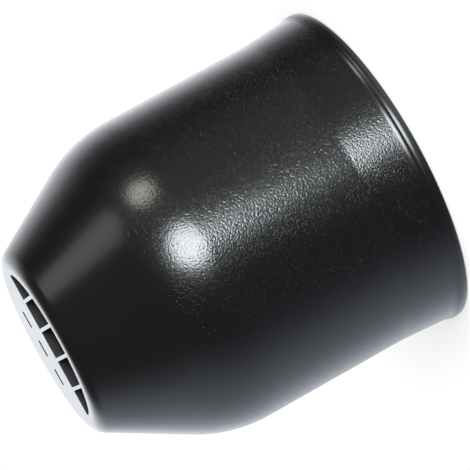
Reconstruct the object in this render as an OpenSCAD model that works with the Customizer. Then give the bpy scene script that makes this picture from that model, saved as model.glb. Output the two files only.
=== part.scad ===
// Push-on cover for a tow ball: one moulded shell, closed at the narrow end.
// Millimetres. The mouth stands on z = 0 and the shell's axis is Z.

/* [Overall] */
// Height from the mouth to the closed end
height = 72.2; // [66:0.1:80]

/* [Barrel] */
// Outer diameter at the waist, above the flared rim
waist_d = 63.7; // [62:0.1:64.8]
// Height of the waist above the mouth
waist_z = 12.2; // [9:0.1:18]
// Draft of the barrel in degrees, narrowing towards the closed end
draft_angle = 0.2; // [0:0.05:1]

/* [Cone] */
// Angle between the cone's side and the axis, in degrees
cone_angle = 30.4; // [26:0.1:34]
// Radius of the shoulder between the barrel and the cone
blend_r = 28; // [16:0.5:34]
// Diameter of the flat closed end
face_d = 32.8; // [30:0.1:36]
// Radius of the corner round the closed end
corner_r = 3.6; // [2:0.1:5]

/* [Rim] */
// How far the flare widens from the waist to its foot
flare_out = 0.7; // [0.4:0.05:1.2]
// Height of the flare's foot above the mouth
flare_z = 2.6; // [2.4:0.1:4]
// Radius of the turn from the barrel to the flare
flare_turn_r = 12; // [4:1:30]
// How far the lip at the mouth, the widest place, stands out beyond the flare's foot
lip_out = 0.45; // [0.3:0.05:0.9]
// Height of the lip's widest place above the mouth
lip_z = 1.0; // [0.9:0.05:1.3]
// Radius of the lip's domed face, in section
lip_face_r = 2.4; // [1.6:0.1:4]
// Radius of the lip's two rounded edges
lip_r = 0.5; // [0.3:0.05:0.7]
// Radius of the fillet between the lip and the flare
lip_fillet_r = 2.2; // [1:0.1:4]

/* [Hollow] */
// Wall of the barrel and the cone
wall = 2.6; // [2:0.1:3.5]
// Thickness of the closed end
end_wall = 4.2; // [3.4:0.1:6]
// Corner radius inside the closed end
hollow_corner_r = 2; // [1:0.1:4]
// Chamfer at the mouth's inner edge
mouth_chamfer = 0.8; // [0.3:0.1:1.5]

/* [Ball grip] */
// Diameter of the tow ball that the cover is made for
ball_d = 50; // [49:0.1:51]
// Radial squeeze of the ribs on the ball
grip_squeeze = 0.1; // [0:0.05:0.4]
// Height of the ball's centre above the mouth
ball_z = 33; // [28:0.5:38]
// Number of grip ribs
rib_count = 8; // [4:1:12]
// Thickness of a rib
rib_w = 1.8; // [1.2:0.1:2.4]
// Height of the ribs' lower ends above the mouth
rib_z = 5; // [3:0.5:10]
// Height of the slope that leads the ball in
lead_h = 4; // [2:0.5:8]
// Depth of that slope across
lead_w = 2.4; // [1:0.1:3]
// Diameter left clear between the ribs above the ball
crown_d = 18; // [12:0.5:24]

/* [Closed end pattern] */
// Number of pockets across the closed end
pocket_count = 5; // [3:1:7]
// Depth of the pockets
pocket_h = 1.8; // [0.8:0.1:2.4]
// Thickness of the webs between the pockets
web_w = 0.7; // [0.6:0.1:1.6]
// Flat margin between the pockets and the corner round
margin_w = 1.2; // [0.6:0.1:2.5]
// Width of the bar across the middle, behind the pockets
bar_w = 3; // [1.5:0.1:5]
// Width of the dashes behind the bar
dash_w = 1.6; // [0.8:0.1:3]
// Length of the dashes
dash_l = 3.4; // [2:0.1:4]
// Distance of the dashes from the middle
dash_y = 7; // [4:0.1:9]

/* [Hidden] */
$fn = 120;
// Degrees between the points of an arc in an outline
arc_step = 3;
// Extra length of a cut past the face that it opens
past = 1;

// Outlines are drawn in the plane of radius and height and turned round Z
waist = [waist_d / 2, waist_z];
barrel_up = [-sin(draft_angle), cos(draft_angle)];
barrel_out = [cos(draft_angle), sin(draft_angle)];
cone_up = [-sin(cone_angle), cos(cone_angle)];
cone_out = [cos(cone_angle), sin(cone_angle)];
corner_centre = [face_d / 2, height - corner_r];
corner_foot = corner_centre + corner_r * cone_out;

// The shoulder's arc touches the straight sides of the barrel and the cone
barrel_run = cross(corner_foot - waist, cone_up) / cross(barrel_up, cone_up);
blend_run = blend_r * tan((cone_angle - draft_angle) / 2);
blend_centre = waist + (barrel_run - blend_run) * barrel_up - blend_r * barrel_out;

// The flare is straight between its turn at the waist and the fillet that leads to the lip
flare_foot = [waist.x + flare_out, flare_z];
flare_a = atan2(flare_out, waist_z - flare_z);
flare_down = [sin(flare_a), -cos(flare_a)];
flare_side = [cos(flare_a), sin(flare_a)];
flare_turn = waist + flare_turn_r * (tan((flare_a - draft_angle) / 2) * barrel_up + barrel_out);
lip_x = flare_foot.x + lip_out;
lip_face_centre = [lip_x - lip_face_r, lip_z];
lip_edge_a = asin((lip_z - lip_r) / (lip_face_r - lip_r));
lip_low = lip_face_centre + (lip_face_r - lip_r) * [cos(lip_edge_a), -sin(lip_edge_a)];
lip_high = lip_face_centre + (lip_face_r - lip_r) * [cos(lip_edge_a), sin(lip_edge_a)];
lip_way = lip_high - flare_foot - lip_fillet_r * flare_side;
lip_run = lip_way * flare_down
    - sqrt(pow(lip_way * flare_down, 2) - lip_way * lip_way + pow(lip_r + lip_fillet_r, 2));
lip_fillet = flare_foot + lip_fillet_r * flare_side + lip_run * flare_down;

hollow_top = height - end_wall;
tip_r = ball_d / 2 - grip_squeeze;
crown_r = crown_d / 2;
crown_z = ball_z + sqrt(pow(tip_r, 2) - pow(crown_r, 2));
pattern_r = face_d / 2 - margin_w;
pocket_pitch = (2 * pattern_r + web_w) / pocket_count;

// Points of an arc about a centre, from one angle to another
function arc(centre, radius, from, to) =
    let (steps = ceil(abs(to - from) / arc_step))
    [for (i = [0 : steps]) let (a = from + (to - from) * i / steps) centre + radius * [cos(a), sin(a)]];

// Radius of the barrel's and the cone's side at a height, with the outline moved in by inset
function barrel_side(z, inset) = waist.x - inset / cos(draft_angle) - (z - waist.y) * tan(draft_angle);
function cone_side(z, inset) =
    corner_foot.x - inset / cos(cone_angle) + (corner_foot.y - z) * tan(cone_angle);

// Shoulder, cone and rounded corner up to a flat top, with the outline moved in by inset
function upper_outline(top_z, top_r, inset) =
    let (foot_z = top_z - top_r + top_r * cone_out.y)
    let (top_centre = [cone_side(foot_z, inset) - top_r * cone_out.x, top_z - top_r])
    concat(arc(blend_centre, blend_r - inset, draft_angle, cone_angle),
           arc(top_centre, top_r, cone_angle, 90),
           [[0, top_z]]);

// Lip, fillet and flare, from the mouth up to the barrel
function rim_outline() =
    let (lip_top = atan2(lip_fillet.y - lip_high.y, lip_fillet.x - lip_high.x))
    concat(arc(lip_low, lip_r, -90, -lip_edge_a),
           arc(lip_face_centre, lip_face_r, -lip_edge_a, lip_edge_a),
           arc(lip_high, lip_r, lip_edge_a, lip_top),
           arc(lip_fillet, lip_fillet_r, 180 + lip_top, 180 + flare_a),
           arc(flare_turn, flare_turn_r, 180 + flare_a, 180 + draft_angle));

module outside() {
    rotate_extrude() polygon(concat([[0, 0]], rim_outline(), upper_outline(height, corner_r, 0)));
}

module hollow_outline() {
    polygon(concat([[0, -past],
                    [barrel_side(0, wall) + mouth_chamfer + past, -past],
                    [barrel_side(mouth_chamfer, wall), mouth_chamfer]],
                   upper_outline(hollow_top, hollow_corner_r, wall)));
}

module hollow() {
    rotate_extrude() hollow_outline();
}

// Room for the ball on its way in, its round seat and the clear middle above it, never into the wall
module ball_room() {
    rotate_extrude()
        intersection() {
            hollow_outline();
            union() {
                polygon([[0, -past], [tip_r + lead_w, -past], [tip_r + lead_w, rib_z],
                         [tip_r, rib_z + lead_h], [tip_r, ball_z], [0, ball_z]]);
                intersection() {
                    translate([0, ball_z]) circle(r = tip_r);
                    translate([0, ball_z]) square([tip_r, crown_z - ball_z]);
                }
                translate([0, crown_z]) square([crown_r, hollow_top - crown_z]);
            }
        }
}

// Upright plates that the ribs are cut from
module rib_plates() {
    for (i = [0 : rib_count - 1])
        rotate(360 * (i + 0.5) / rib_count)
            translate([crown_r - past, -rib_w / 2, rib_z])
                cube([waist.x - crown_r, rib_w, height - rib_z]);
}

// Blind pockets in the closed end: a half disc cut by webs, with a row of dashes behind the bar
module face_pockets() {
    middle = (pocket_count - 1) / 2;
    translate([0, 0, height - pocket_h])
        linear_extrude(pocket_h + past) {
            intersection() {
                circle(r = pattern_r);
                for (i = [0 : pocket_count - 1])
                    translate([-pattern_r + i * pocket_pitch, -pattern_r])
                        square([pocket_pitch - web_w, pattern_r - bar_w / 2]);
            }
            for (i = [1 : pocket_count - 2])
                translate([(i - middle) * pocket_pitch - dash_l / 2, dash_y - dash_w / 2])
                    square([dash_l, dash_w]);
        }
}

module cover() {
    color([0.045, 0.045, 0.05])
        difference() {
            outside();
            difference() {
                hollow();
                rib_plates();
            }
            ball_room();
            face_pockets();
        }
}

cover();
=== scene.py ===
import math

import bpy
from mathutils import Matrix, Vector


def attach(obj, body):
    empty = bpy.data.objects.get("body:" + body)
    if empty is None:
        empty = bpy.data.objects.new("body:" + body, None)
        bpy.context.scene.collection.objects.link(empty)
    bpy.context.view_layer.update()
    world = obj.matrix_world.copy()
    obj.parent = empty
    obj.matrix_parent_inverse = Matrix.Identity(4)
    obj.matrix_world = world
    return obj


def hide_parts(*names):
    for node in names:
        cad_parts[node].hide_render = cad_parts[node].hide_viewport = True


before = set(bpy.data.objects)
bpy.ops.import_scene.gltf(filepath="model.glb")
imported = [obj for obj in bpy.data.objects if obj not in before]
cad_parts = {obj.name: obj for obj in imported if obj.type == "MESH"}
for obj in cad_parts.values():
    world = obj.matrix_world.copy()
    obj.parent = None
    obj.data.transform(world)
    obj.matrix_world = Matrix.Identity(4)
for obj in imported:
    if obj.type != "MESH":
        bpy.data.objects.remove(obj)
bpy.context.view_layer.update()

MM = 0.001

# Camera: on the -Y side, a little above the axis's middle, rolled so that the mouth is at the upper right
MIDDLE = Vector((0, 0, 36.1)) * MM
CAMERA_DISTANCE = 520 * MM
CAMERA_TILT = math.radians(12.0)
CAMERA_ROLL = math.radians(119.0)
# Focal length and sensor width in millimetres, and the nearest and furthest distance seen in metres
CAMERA_LENS = 209.9
CAMERA_SENSOR = 36.0
CAMERA_CLIP = (0.01, 20)
# How far beside the middle the camera aims, across and along the shell's axis
AIM_ACROSS = 1.19 * MM
AIM_ALONG = -5.43 * MM

# Lamps: name, direction round Z from -Y towards +X and elevation in degrees, diameter in metres, power in
# watts and colour. All stand at the same distance from the middle.
LAMP_DISTANCE = 0.7
LAMPS = (
    ("key", 12.5, 4.5, 0.35, 7.6, (0.94, 0.99, 1.02)),
    ("side", 66, 42, 0.28, 0.34, (1, 1, 1)),
    ("warm", 62, 10, 0.21, 0.99, (0.97, 0.98, 0.86)),
)

# Brightness of what the shell mirrors, by direction round Z in degrees from -Y towards +X, and its tint
SURROUNDINGS = (
    (-180, 2.20, "plain"), (-140, 1.45, "cool"), (-120, 1.25, "cool"), (-100, 1.05, "cool"),
    (-85, 0.80, "cool"), (-70, 0.36, "cool"), (-55, 0.12, "cool"), (0, 0.07, "cool"),
    (20, 0.10, "warm"), (42, 0.30, "warm"), (62, 0.26, "warm"), (80, 0.16, "warm"),
    (98, 0.04, "plain"), (112, 0.05, "plain"), (126, 0.32, "plain"), (142, 1.45, "plain"),
    (180, 2.20, "plain"),
)
# The same low down
LOW_SURROUNDINGS = (
    (-180, 2.20, "plain"), (-140, 1.45, "cool"), (-100, 1.05, "cool"), (-70, 0.40, "cool"),
    (-50, 0.16, "cool"), (-25, 0.16, "cool"), (0, 0.80, "plain"), (12, 1.50, "plain"),
    (64, 1.50, "plain"), (80, 1.20, "plain"), (94, 0.60, "plain"), (114, 0.40, "plain"),
    (142, 1.45, "plain"), (180, 2.20, "plain"),
)
# What the tints do to red, green and blue
TINTS = {"cool": (0.86, 0.95, 1.08), "plain": (0.96, 0.99, 1.04), "warm": (1.0, 1.0, 0.98)}
# Sines of the elevation between which the low surroundings take over
LOW_START, LOW_END = -0.28, -0.38
# Overhead it is dark: the sines of the elevation where the brightness starts to fall and where it ends
OVERHEAD_START, OVERHEAD_END, OVERHEAD_LEVEL = 0.50, 0.72, 0.13
# The shell's own shadow, mirrored low down at its -X edge: its share by direction, as above, the sines of
# the elevation where it starts to fade and where it ends, and its brightness
OWN_SHADOW = ((-180, 0.9), (-166, 1.0), (-135, 0.0), (160, 0.0), (180, 0.9))
OWN_SHADOW_START, OWN_SHADOW_END, OWN_SHADOW_LEVEL = -0.3, 0.1, 0.7
# Brightness of the light from all sides on what isn't mirrored
FILL_LEVEL = 0.9

# The floor: half its side in metres, its grey and its glow
FLOOR_HALF, FLOOR_LEVEL, FLOOR_GLOW = 3.0, 0.6, 0.45

# The shell's sizes, as in the part's source, in millimetres and degrees
HEIGHT = 72.2
WAIST_R, WAIST_Z = 31.85, 12.2
DRAFT, CONE = 0.2, 30.4
BLEND_R = 28.0
FACE_R, CORNER_R = 16.4, 3.6
FLARE_OUT, FLARE_Z, FLARE_TURN_R = 0.7, 2.6, 12.0
LIP_OUT, LIP_Z, LIP_FACE_R, LIP_R, LIP_FILLET_R = 0.45, 1.0, 2.4, 0.5, 2.2
WALL, END_WALL = 2.6, 4.2
HOLLOW_CORNER_R, MOUTH_CHAMFER = 2.0, 0.8
TIP_R, BALL_Z, CROWN_R = 24.9, 33.0, 9.0
RIB_COUNT, RIB_W, RIB_Z = 8, 1.8, 5.0
LEAD_H, LEAD_W = 4.0, 2.4
POCKET_COUNT, POCKET_H, WEB_W = 5, 1.8, 0.7
PATTERN_R, BAR_W = 15.2, 3.0
DASH_W, DASH_L, DASH_Y = 1.6, 3.4, 7.0

# How far the ribs reach into the wall, and a cut past the face that it opens, in millimetres
BURY, PAST = 0.4, 1
# Width of the flat ring of faces between the rounded corner and the middle of the closed end
FACE_RING = 0.25
# Lengths in millimetres below which a point counts as on the axis, and as on the bar
ON_AXIS, ON_BAR = 1e-6, 0.01
# Faces round the axis, and the angle from which an edge is sharp
SEGMENTS = 192
SHARP_ANGLE = math.radians(28)
# Degrees between the points of the arcs in the outline
SHOULDER_STEP, INSIDE_STEP, CORNER_STEP = 1, 3, 4
LIP_STEP, LIP_FOOT_STEP, LIP_FILLET_STEP, FLARE_TURN_STEP = 4, 8, 2.5, 0.5
# Pieces that the outline's straight stretches and a pocket's round side are cut into
BARREL_PIECES, CONE_PIECES, FLARE_PIECES, HOLLOW_PIECES, POCKET_PIECES = 10, 8, 8, 6, 14

PLASTIC_COLOUR = (0.0025, 0.0025, 0.0028, 1)
# Strength of the grain by height in millimetres: none on the rim, less on the cone, a trace on the closed end
GRAIN = ((2.7, 0.0), (3.1, 0.9), (41, 0.9), (49, 0.75), (55, 0.4), (71.8, 0.05))
# Height in millimetres at the end of the ramp that holds these strengths
GRAIN_TOP = 80
# Distance between the grain's dots, and their depth
GRAIN_SIZE, GRAIN_DEPTH = 0.40 * MM, 0.042 * MM
# Roughness of the plain surface, the scale and detail of the clouds that vary it, and the grain's polish
ROUGH, CLOUD_SCALE, CLOUD_DETAIL, GRAIN_POLISH = (0.20, 0.27), 90, 3, 0.05
# The lip, up to this height in millimetres, and the pockets are rougher by these amounts
LIP_TOP, LIP_ROUGHER, POCKET_ROUGHER = 1.85, 0.04, 0.35
# How far past the pockets' sides and floor their own roughness reaches, in millimetres
POCKET_MARGIN = 0.05

# Sockets of a colour mix, which share their names with those of its other types
MIX_FIRST, MIX_SECOND, MIX_RESULT = 6, 7, 2


def bearing(around, above):
    """Direction at an angle round Z from -Y towards +X and an angle above the horizon, in degrees."""
    a, e = math.radians(around), math.radians(above)
    return Vector((math.sin(a) * math.cos(e), -math.cos(a) * math.cos(e), math.sin(e)))


def add_camera():
    toward = Vector((0, -math.cos(CAMERA_TILT), math.sin(CAMERA_TILT)))
    flat_right = Vector((1, 0, 0))
    flat_up = Vector((0, math.sin(CAMERA_TILT), math.cos(CAMERA_TILT)))
    place = MIDDLE + CAMERA_DISTANCE * toward
    target = MIDDLE + AIM_ACROSS * flat_right + AIM_ALONG * flat_up
    back = (place - target).normalized()
    side = flat_up.cross(back).normalized()
    above = back.cross(side)
    up = math.sin(CAMERA_ROLL) * side + math.cos(CAMERA_ROLL) * above
    right = up.cross(back)
    data = bpy.data.cameras.new("camera")
    data.lens = CAMERA_LENS
    data.sensor_width = CAMERA_SENSOR
    data.clip_start, data.clip_end = CAMERA_CLIP
    camera = bpy.data.objects.new("camera", data)
    camera.matrix_world = Matrix.Translation(place) @ Matrix((right, up, back)).transposed().to_4x4()
    bpy.context.scene.collection.objects.link(camera)
    bpy.context.scene.camera = camera


def add_lamp(name, around, above, size, power, colour):
    data = bpy.data.lights.new(name, "AREA")
    data.shape = "DISK"
    data.size = size
    data.energy = power
    data.color = colour
    lamp = bpy.data.objects.new(name, data)
    away = bearing(around, above).normalized()
    lamp.location = MIDDLE + LAMP_DISTANCE * away
    lamp.rotation_mode = "QUATERNION"
    lamp.rotation_quaternion = (-away).to_track_quat("-Z", "Y")
    bpy.context.scene.collection.objects.link(lamp)


def feed(tree, socket, value):
    """Set a socket to a number or a colour, or link another node's output to it."""
    if isinstance(value, bpy.types.NodeSocket):
        tree.links.new(value, socket)
    else:
        socket.default_value = value


def calculated(tree, operation, *values):
    """Output of a math node over numbers and other outputs."""
    node = tree.nodes.new("ShaderNodeMath")
    node.operation = operation
    for socket, value in zip(node.inputs, values):
        feed(tree, socket, value)
    return node.outputs["Value"]


def ranged(tree, value, start, end, low=0, high=1):
    """Value that goes from low to high while the given one goes from start to end."""
    node = tree.nodes.new("ShaderNodeMapRange")
    feed(tree, node.inputs["Value"], value)
    for name, limit in (("From Min", start), ("From Max", end), ("To Min", low), ("To Max", high)):
        node.inputs[name].default_value = limit
    return node.outputs["Result"]


def ramped(tree, value, stops):
    """Colour by a value from 0 to 1. Each stop is a place on the ramp and a colour."""
    node = tree.nodes.new("ShaderNodeValToRGB")
    feed(tree, node.inputs["Fac"], value)
    elements = node.color_ramp.elements
    while len(elements) < len(stops):
        elements.new(0.5)
    for element, (position, colour) in zip(elements, stops):
        element.position = position
    for element, (position, colour) in zip(elements, stops):
        element.color = colour
    return node.outputs["Color"]


def mixed(tree, share, first, second):
    """Colour that goes from the first to the second with the share."""
    node = tree.nodes.new("ShaderNodeMix")
    node.data_type = "RGBA"
    feed(tree, node.inputs["Factor"], share)
    feed(tree, node.inputs[MIX_FIRST], first)
    feed(tree, node.inputs[MIX_SECOND], second)
    return node.outputs[MIX_RESULT]


def grey(level):
    return (level, level, level, 1)


def turn_share(angle):
    """Place of a direction round Z on a colour ramp that covers a whole turn."""
    return (angle + 180) / 360


def tinted(surroundings):
    """Stops of a colour ramp for a whole turn of surroundings."""
    return [(turn_share(angle), tuple(level * part for part in TINTS[tint]) + (1,))
            for angle, level, tint in surroundings]


def background(tree, colour):
    node = tree.nodes.new("ShaderNodeBackground")
    feed(tree, node.inputs["Color"], colour)
    return node.outputs["Background"]


def chosen(tree, share, first, second):
    """Shader that is the second one where the share is 1, and the first one elsewhere."""
    node = tree.nodes.new("ShaderNodeMixShader")
    for socket, value in zip(node.inputs, (share, first, second)):
        feed(tree, socket, value)
    return node.outputs["Shader"]


def add_world():
    """White for the camera, the surroundings for reflections and an even light for the rest."""
    world = bpy.data.worlds.new("studio")
    world.use_nodes = True
    bpy.context.scene.world = world
    tree = world.node_tree
    tree.nodes.clear()
    split = tree.nodes.new("ShaderNodeSeparateXYZ")
    feed(tree, split.inputs["Vector"], tree.nodes.new("ShaderNodeTexCoord").outputs["Generated"])
    rise = split.outputs["Z"]
    to_front = calculated(tree, "MULTIPLY", split.outputs["Y"], -1)
    around = calculated(tree, "ARCTAN2", split.outputs["X"], to_front)
    turn = ranged(tree, around, -math.pi, math.pi)

    low = ranged(tree, rise, LOW_START, LOW_END)
    mirrored = mixed(tree, low, ramped(tree, turn, tinted(SURROUNDINGS)),
                     ramped(tree, turn, tinted(LOW_SURROUNDINGS)))
    shadow = ramped(tree, turn, [(turn_share(angle), grey(share)) for angle, share in OWN_SHADOW])
    shadow_low = ranged(tree, rise, OWN_SHADOW_START, OWN_SHADOW_END, 1, 0)
    shadow = calculated(tree, "MULTIPLY", shadow, shadow_low)
    mirrored = mixed(tree, shadow, mirrored, grey(OWN_SHADOW_LEVEL))
    overhead = ranged(tree, rise, OVERHEAD_START, OVERHEAD_END)
    mirrored = mixed(tree, overhead, mirrored, grey(OVERHEAD_LEVEL))

    path = tree.nodes.new("ShaderNodeLightPath")
    lit = chosen(tree, path.outputs["Is Glossy Ray"], background(tree, grey(FILL_LEVEL)),
                 background(tree, mirrored))
    seen = chosen(tree, path.outputs["Is Camera Ray"], lit, background(tree, grey(1)))
    feed(tree, tree.nodes.new("ShaderNodeOutputWorld").inputs["Surface"], seen)


def floor_material():
    """Pale matt floor with a glow, so that it is white and still keeps a soft shadow."""
    material = bpy.data.materials.new("floor")
    material.use_nodes = True
    tree = material.node_tree
    tree.nodes.clear()
    matt = tree.nodes.new("ShaderNodeBsdfDiffuse")
    feed(tree, matt.inputs["Color"], grey(FLOOR_LEVEL))
    glow = tree.nodes.new("ShaderNodeEmission")
    feed(tree, glow.inputs["Color"], grey(FLOOR_GLOW))
    both = tree.nodes.new("ShaderNodeAddShader")
    feed(tree, both.inputs[0], matt.outputs["BSDF"])
    feed(tree, both.inputs[1], glow.outputs["Emission"])
    feed(tree, tree.nodes.new("ShaderNodeOutputMaterial").inputs["Surface"], both.outputs["Shader"])
    return material


def add_floor():
    mesh = bpy.data.meshes.new("floor")
    corners = [(x * FLOOR_HALF, y * FLOOR_HALF, 0) for x, y in ((-1, -1), (1, -1), (1, 1), (-1, 1))]
    mesh.from_pydata(corners, [], [(0, 1, 2, 3)])
    mesh.materials.append(floor_material())
    floor = bpy.data.objects.new("floor", mesh)
    floor.visible_glossy = False
    floor.visible_diffuse = False
    floor.visible_shadow = False
    bpy.context.scene.collection.objects.link(floor)


def turned(angle):
    """Direction at an angle up from the radius, in the plane of radius and height."""
    return Vector((math.cos(math.radians(angle)), math.sin(math.radians(angle))))


def along(angle):
    """Direction up a side that leans in by an angle from the axis."""
    return Vector((-math.sin(math.radians(angle)), math.cos(math.radians(angle))))


def arc(centre, radius, start, end, step):
    """Points of an arc about a centre, from one angle to another."""
    steps = max(2, math.ceil(abs(end - start) / step))
    return [centre + radius * turned(start + (end - start) * i / steps) for i in range(steps + 1)]


def line(start, end, pieces):
    """Points of a straight stretch between its ends, without them."""
    return [start.lerp(end, i / pieces) for i in range(1, pieces)]


# The shoulder's arc touches the straight sides of the barrel and the cone, in the plane of radius and height
BARREL_UP, BARREL_OUT = along(DRAFT), turned(DRAFT)
CONE_UP, CONE_OUT = along(CONE), turned(CONE)
WAIST = Vector((WAIST_R, WAIST_Z))
CORNER_FOOT = Vector((FACE_R, HEIGHT - CORNER_R)) + CORNER_R * CONE_OUT
BARREL_RUN = (CORNER_FOOT - WAIST).cross(CONE_UP) / BARREL_UP.cross(CONE_UP)
BLEND_RUN = BLEND_R * math.tan(math.radians((CONE - DRAFT) / 2))
BLEND_CENTRE = WAIST + (BARREL_RUN - BLEND_RUN) * BARREL_UP - BLEND_R * BARREL_OUT
HOLLOW_TOP = HEIGHT - END_WALL
POCKET_PITCH = (2 * PATTERN_R + WEB_W) / POCKET_COUNT


def hollow_side(z):
    """Radius of the barrel's inner side at a height."""
    return WAIST_R - WALL / math.cos(math.radians(DRAFT)) - (z - WAIST_Z) * math.tan(math.radians(DRAFT))


def upper_outline(top_z, top_r, inset, step):
    """Shoulder, cone and rounded corner up to a flat top, with the outline moved in by inset."""
    foot_z = top_z - top_r + top_r * CONE_OUT.y
    foot_r = CORNER_FOOT.x - inset / math.cos(math.radians(CONE))
    foot_r += (CORNER_FOOT.y - foot_z) * math.tan(math.radians(CONE))
    centre = Vector((foot_r - top_r * CONE_OUT.x, top_z - top_r))
    shoulder = arc(BLEND_CENTRE, BLEND_R - inset, DRAFT, CONE, step)
    corner = arc(centre, top_r, CONE, 90, CORNER_STEP)
    return shoulder + line(shoulder[-1], corner[0], CONE_PIECES) + corner


def rim_outline():
    """Lip, fillet and flare, from the mouth up to the barrel."""
    foot = WAIST + Vector((FLARE_OUT, FLARE_Z - WAIST_Z))
    flare = math.degrees(math.atan2(FLARE_OUT, WAIST_Z - FLARE_Z))
    side = turned(flare)
    down = Vector((side.y, -side.x))
    face = Vector((foot.x + LIP_OUT - LIP_FACE_R, LIP_Z))
    edge = math.degrees(math.asin((LIP_Z - LIP_R) / (LIP_FACE_R - LIP_R)))
    low = face + (LIP_FACE_R - LIP_R) * turned(-edge)
    high = face + (LIP_FACE_R - LIP_R) * turned(edge)
    way = high - foot - LIP_FILLET_R * side
    gap = way.dot(down) ** 2 - way.length_squared + (LIP_R + LIP_FILLET_R) ** 2
    run = way.dot(down) - math.sqrt(gap)
    fillet = foot + LIP_FILLET_R * side + run * down
    top = math.degrees(math.atan2(fillet.y - high.y, fillet.x - high.x))
    turn = WAIST + FLARE_TURN_R * (math.tan(math.radians((flare - DRAFT) / 2)) * BARREL_UP + BARREL_OUT)
    rounds = arc(low, LIP_R, -90, -edge, LIP_FOOT_STEP)
    rounds += arc(face, LIP_FACE_R, -edge, edge, LIP_STEP)[1:]
    rounds += arc(high, LIP_R, edge, top, LIP_STEP)[1:]
    rounds += arc(fillet, LIP_FILLET_R, 180 + top, 180 + flare, LIP_FILLET_STEP)[1:]
    bend = arc(turn, FLARE_TURN_R, 180 + flare, 180 + DRAFT, FLARE_TURN_STEP)
    return rounds + line(rounds[-1], bend[0], FLARE_PIECES) + bend


def shell_outline():
    """The wall's whole outline, from the hollow's top down to the mouth and up the outside."""
    inside = upper_outline(HOLLOW_TOP, HOLLOW_CORNER_R, WALL, INSIDE_STEP)
    chamfer = Vector((hollow_side(MOUTH_CHAMFER), MOUTH_CHAMFER))
    inside = [Vector((0, HOLLOW_TOP))] + inside[::-1]
    inside += line(inside[-1], chamfer, HOLLOW_PIECES)
    inside += [chamfer, Vector((hollow_side(0) + MOUTH_CHAMFER, 0))]
    rim = rim_outline()
    above = upper_outline(HEIGHT, CORNER_R, 0, SHOULDER_STEP)
    face = [Vector((FACE_R - FACE_RING, HEIGHT)), Vector((0, HEIGHT))]
    return inside + rim + line(rim[-1], above[0], BARREL_PIECES) + above + face


def mesh_object(name, vertices, faces):
    """Object in metres from vertices in millimetres and faces."""
    mesh = bpy.data.meshes.new(name)
    mesh.from_pydata([Vector(v) * MM for v in vertices], [], faces)
    obj = bpy.data.objects.new(name, mesh)
    bpy.context.scene.collection.objects.link(obj)
    return obj


def revolved(name, outline):
    """Mesh of an outline turned round Z. A ring on the axis is a single point."""
    vertices, rings = [], []
    for point in outline:
        if point.x < ON_AXIS:
            rings.append([len(vertices)] * SEGMENTS)
            vertices.append((0, 0, point.y))
            continue
        rings.append([len(vertices) + i for i in range(SEGMENTS)])
        for i in range(SEGMENTS):
            a = 2 * math.pi * i / SEGMENTS
            vertices.append((point.x * math.cos(a), point.x * math.sin(a), point.y))
    faces = []
    for low, high in zip(rings, rings[1:]):
        if low[0] == low[1]:
            faces.append(tuple(high[::-1]))
        elif high[0] == high[1]:
            faces.append(tuple(low))
        else:
            for i in range(SEGMENTS):
                j = (i + 1) % SEGMENTS
                faces.append((low[i], low[j], high[j], high[i]))
    return mesh_object(name, vertices, faces)


def prism(polygon, low, high, place=lambda x, y, h: (x, y, h)):
    """Vertices and faces of a straight prism. The polygon runs counter-clockwise seen from the high side."""
    n = len(polygon)
    vertices = [place(x, y, low) for x, y in polygon] + [place(x, y, high) for x, y in polygon]
    faces = [tuple(range(n))[::-1], tuple(range(n, 2 * n))]
    faces += [(i, (i + 1) % n, n + (i + 1) % n, n + i) for i in range(n)]
    return vertices, faces


def joined(name, solids):
    """One mesh of several solids, each given by its vertices and faces."""
    vertices, faces = [], []
    for more_vertices, more_faces in solids:
        faces += [tuple(i + len(vertices) for i in face) for face in more_faces]
        vertices += more_vertices
    return mesh_object(name, vertices, faces)


def pocket_outline(left, right):
    """A piece of the half disc below the bar, from one side of a pocket to the other."""
    xs = [left + (right - left) * k / POCKET_PIECES for k in range(POCKET_PIECES + 1)]
    low = [(x, -math.sqrt(max(PATTERN_R ** 2 - x ** 2, 0))) for x in xs]
    low = [point for point in low if point[1] < -BAR_W / 2 - ON_BAR]
    return low + [(min(right, low[-1][0]), -BAR_W / 2), (max(left, low[0][0]), -BAR_W / 2)]


def dash_outline(x):
    half_l, half_w = DASH_L / 2, DASH_W / 2
    return [(x - half_l, DASH_Y - half_w), (x + half_l, DASH_Y - half_w),
            (x + half_l, DASH_Y + half_w), (x - half_l, DASH_Y + half_w)]


def face_outlines():
    """Outlines of the closed end's pockets and dashes."""
    lefts = [-PATTERN_R + i * POCKET_PITCH for i in range(POCKET_COUNT)]
    pockets = [pocket_outline(left, left + POCKET_PITCH - WEB_W) for left in lefts]
    middle = (POCKET_COUNT - 1) / 2
    return pockets + [dash_outline((i - middle) * POCKET_PITCH) for i in range(1, POCKET_COUNT - 1)]


def rib_outline():
    """Outline of a rib in the plane of radius and height, sunk into the wall."""
    crown_z = BALL_Z + math.sqrt(TIP_R ** 2 - CROWN_R ** 2)
    top_angle = math.degrees(math.atan2(crown_z - BALL_Z, CROWN_R))
    tips = [Vector((TIP_R + LEAD_W, RIB_Z)), Vector((TIP_R, RIB_Z + LEAD_H))]
    tips += arc(Vector((0, BALL_Z)), TIP_R, 0, top_angle, INSIDE_STEP)
    tips.append(Vector((CROWN_R, HOLLOW_TOP + BURY)))
    wall = [Vector((hollow_side(RIB_Z) + BURY, RIB_Z))]
    wall += upper_outline(HOLLOW_TOP + BURY, HOLLOW_CORNER_R, WALL - BURY, INSIDE_STEP)
    return [tuple(point) for point in wall + tips[::-1]]


def rib_solid(angle):
    """An upright plate of the rib's outline, at an angle round Z."""
    c, s = math.cos(angle), math.sin(angle)
    return prism(rib_outline(), -RIB_W / 2, RIB_W / 2, lambda r, z, h: (r * c + h * s, r * s - h * c, z))


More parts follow.
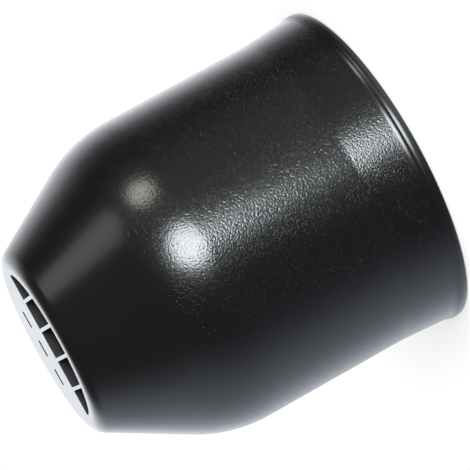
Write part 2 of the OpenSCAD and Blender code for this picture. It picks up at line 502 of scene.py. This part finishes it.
def combined(body, tool, operation):
    """Join the tool to the body or cut it out, and remove it."""
    change = body.modifiers.new(operation, "BOOLEAN")
    change.operation = operation
    change.solver = "EXACT"
    change.object = tool
    graph = bpy.context.evaluated_depsgraph_get()
    mesh = bpy.data.meshes.new_from_object(body.evaluated_get(graph))
    body.modifiers.clear()
    body.data = mesh
    bpy.data.objects.remove(tool)


def add_shell():
    shell = revolved("shell", shell_outline())
    ribs = [rib_solid(2 * math.pi * (i + 0.5) / RIB_COUNT) for i in range(RIB_COUNT)]
    combined(shell, joined("ribs", ribs), "UNION")
    cuts = [prism(outline, HEIGHT - POCKET_H, HEIGHT + PAST) for outline in face_outlines()]
    combined(shell, joined("cuts", cuts), "DIFFERENCE")
    shell.data.shade_smooth()
    shell.data.set_sharp_from_angle(angle=SHARP_ANGLE)
    return shell


def grain_normal(tree, place, strength):
    """Normal of round grain of uneven depth."""
    grain = tree.nodes.new("ShaderNodeTexVoronoi")
    feed(tree, grain.inputs["Vector"], place)
    feed(tree, grain.inputs["Scale"], 1 / GRAIN_SIZE)
    dome = calculated(tree, "MULTIPLY", grain.outputs["Distance"], grain.outputs["Distance"])
    uneven = calculated(tree, "MULTIPLY", dome, grain.outputs["Color"])
    bump = tree.nodes.new("ShaderNodeBump")
    bump.invert = True
    feed(tree, bump.inputs["Strength"], strength)
    feed(tree, bump.inputs["Distance"], GRAIN_DEPTH)
    feed(tree, bump.inputs["Height"], uneven)
    return bump.outputs["Normal"]


def in_pockets(tree, place, height):
    """1 in the pockets of the closed end, from their floor to just below the face, and 0 elsewhere."""
    flat = tree.nodes.new("ShaderNodeVectorMath")
    flat.operation = "MULTIPLY"
    feed(tree, flat.inputs[0], place)
    feed(tree, flat.inputs[1], (1, 1, 0))
    radius = tree.nodes.new("ShaderNodeVectorMath")
    radius.operation = "LENGTH"
    feed(tree, radius.inputs[0], flat.outputs["Vector"])
    in_pattern = calculated(tree, "LESS_THAN", radius.outputs["Value"], (PATTERN_R + POCKET_MARGIN) * MM)
    half_way = (HEIGHT - POCKET_H / 2 - POCKET_MARGIN) * MM
    below_face = calculated(tree, "COMPARE", height, half_way, POCKET_H / 2 * MM)
    return calculated(tree, "MULTIPLY", in_pattern, below_face)


def roughness(tree, place, height, grain):
    """Cloudy roughness, less where the grain is strong and more on the lip and in the pockets."""
    cloud = tree.nodes.new("ShaderNodeTexNoise")
    feed(tree, cloud.inputs["Vector"], place)
    feed(tree, cloud.inputs["Scale"], CLOUD_SCALE)
    feed(tree, cloud.inputs["Detail"], CLOUD_DETAIL)
    rough = ranged(tree, cloud.outputs["Fac"], 0, 1, *ROUGH)
    rough = calculated(tree, "MULTIPLY_ADD", grain, -GRAIN_POLISH, rough)
    on_lip = calculated(tree, "LESS_THAN", height, LIP_TOP * MM)
    rough = calculated(tree, "MULTIPLY_ADD", on_lip, LIP_ROUGHER, rough)
    return calculated(tree, "MULTIPLY_ADD", in_pockets(tree, place, height), POCKET_ROUGHER, rough)


def plastic(name):
    """Black moulded plastic with a fine round grain."""
    material = bpy.data.materials.new(name)
    material.use_nodes = True
    tree = material.node_tree
    shader = tree.nodes["Principled BSDF"]
    feed(tree, shader.inputs["Base Color"], PLASTIC_COLOUR)
    place = tree.nodes.new("ShaderNodeTexCoord").outputs["Object"]
    split = tree.nodes.new("ShaderNodeSeparateXYZ")
    feed(tree, split.inputs["Vector"], place)
    height = split.outputs["Z"]
    rise = ranged(tree, height, 0, GRAIN_TOP * MM)
    grain = ramped(tree, rise, [(z / GRAIN_TOP, grey(share)) for z, share in GRAIN])
    feed(tree, shader.inputs["Normal"], grain_normal(tree, place, grain))
    feed(tree, shader.inputs["Roughness"], roughness(tree, place, height, grain))
    return material


add_camera()
add_world()
add_floor()
for lamp in LAMPS:
    add_lamp(*lamp)

shell = add_shell()
shell.data.materials.append(plastic("shell_plastic"))
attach(shell, "root")
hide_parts("cover")

bpy.context.scene.view_settings.view_transform = "Standard"
